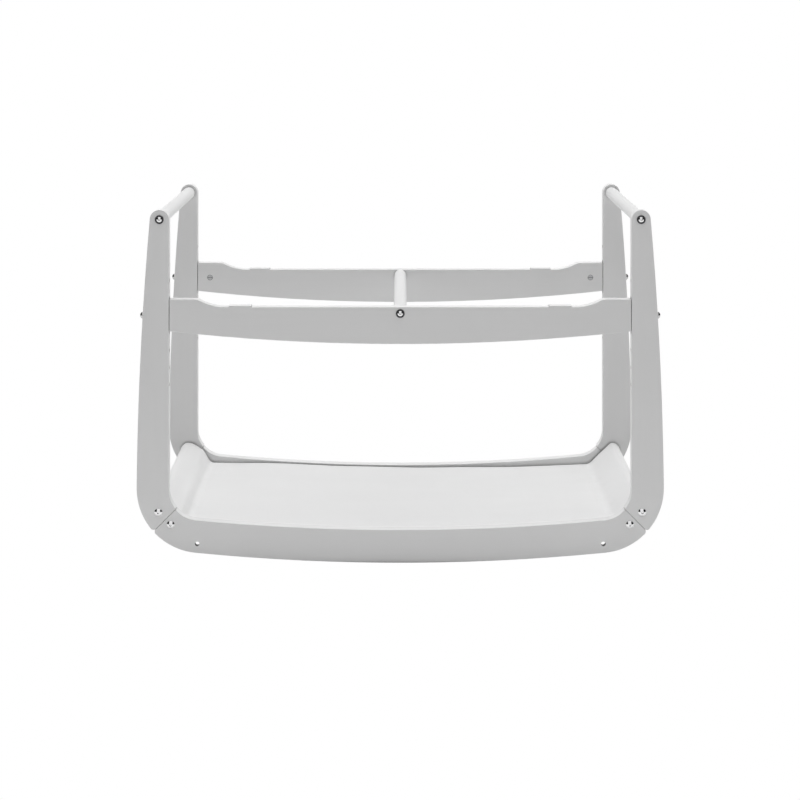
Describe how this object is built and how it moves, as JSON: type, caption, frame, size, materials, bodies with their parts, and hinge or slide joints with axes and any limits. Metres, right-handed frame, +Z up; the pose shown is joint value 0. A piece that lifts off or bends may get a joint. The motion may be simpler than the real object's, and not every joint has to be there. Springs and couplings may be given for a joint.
{
  "type": "rocking cradle stand",
  "caption": "Rocking bedside cradle stand: curved rocker side frames, round crossbars, height-adjustable basket rails and a slung fabric storage shelf.",
  "frame": {"origin": "on the floor, midway between the front and back rockers, at the lowest point of the rocker arcs", "axes": "+X along the rockers from the left end to the right, +Y from the front frame to the back frame, +Z up"},
  "size_m": [1, 0.4976, 0.6688],
  "materials": {
    "painted_board": "smooth satin paint, light grey",
    "white_bar": "smooth satin paint, white",
    "raw_wood": "sanded, unpainted",
    "shelf_cloth": "plain weave, off-white",
    "plated_steel": "zinc plated",
    "blackened_steel": "blackened, satin",
    "bright_chrome": "polished"
  },
  "bodies": {
    "stand": {"front_left_leg": "painted_board", "front_right_leg": "painted_board", "back_left_leg": "painted_board", "back_right_leg": "painted_board", "front_runner": "painted_board", "back_runner": "painted_board", "mitre_pins": "raw_wood", "left_crossbar": "white_bar", "right_crossbar": "white_bar", "crossbar_inserts": "plated_steel", "crossbar_bolts": "bright_chrome", "crossbar_washers": "blackened_steel", "leg_corner_bolts": "bright_chrome", "runner_corner_bolts": "bright_chrome", "left_end_board": "painted_board", "right_end_board": "painted_board", "corner_nuts": "plated_steel", "storage_shelf": "shelf_cloth"},
    "rails": {"front_rail": "painted_board", "back_rail": "painted_board", "centre_bar": "white_bar", "centre_bar_inserts": "plated_steel", "centre_bar_bolts": "bright_chrome", "centre_bar_washers": "blackened_steel", "rail_nuts": "plated_steel"},
    "front_left_bolt": {"front_left_rail_bolt": "bright_chrome", "front_left_rail_washer": "bright_chrome"},
    "front_right_bolt": {"front_right_rail_bolt": "bright_chrome", "front_right_rail_washer": "bright_chrome"},
    "back_left_bolt": {"back_left_rail_bolt": "bright_chrome", "back_left_rail_washer": "bright_chrome"},
    "back_right_bolt": {"back_right_rail_bolt": "bright_chrome", "back_right_rail_washer": "bright_chrome"}
  },
  "joints": [
    {"name": "rail_height", "type": "slide", "parent": "stand", "child": "rails", "axis": [0, 0, 1], "range_m": [-0.132, 0.066]},
    {"name": "front_left_bolt_draw", "type": "slide", "parent": "rails", "child": "front_left_bolt", "axis": [-1, 0, 0], "range_m": [0, 0.095]},
    {"name": "front_right_bolt_draw", "type": "slide", "parent": "rails", "child": "front_right_bolt", "axis": [1, 0, 0], "range_m": [0, 0.095]},
    {"name": "back_left_bolt_draw", "type": "slide", "parent": "rails", "child": "back_left_bolt", "axis": [-1, 0, 0], "range_m": [0, 0.095]},
    {"name": "back_right_bolt_draw", "type": "slide", "parent": "rails", "child": "back_right_bolt", "axis": [1, 0, 0], "range_m": [0, 0.095]}
  ]
}
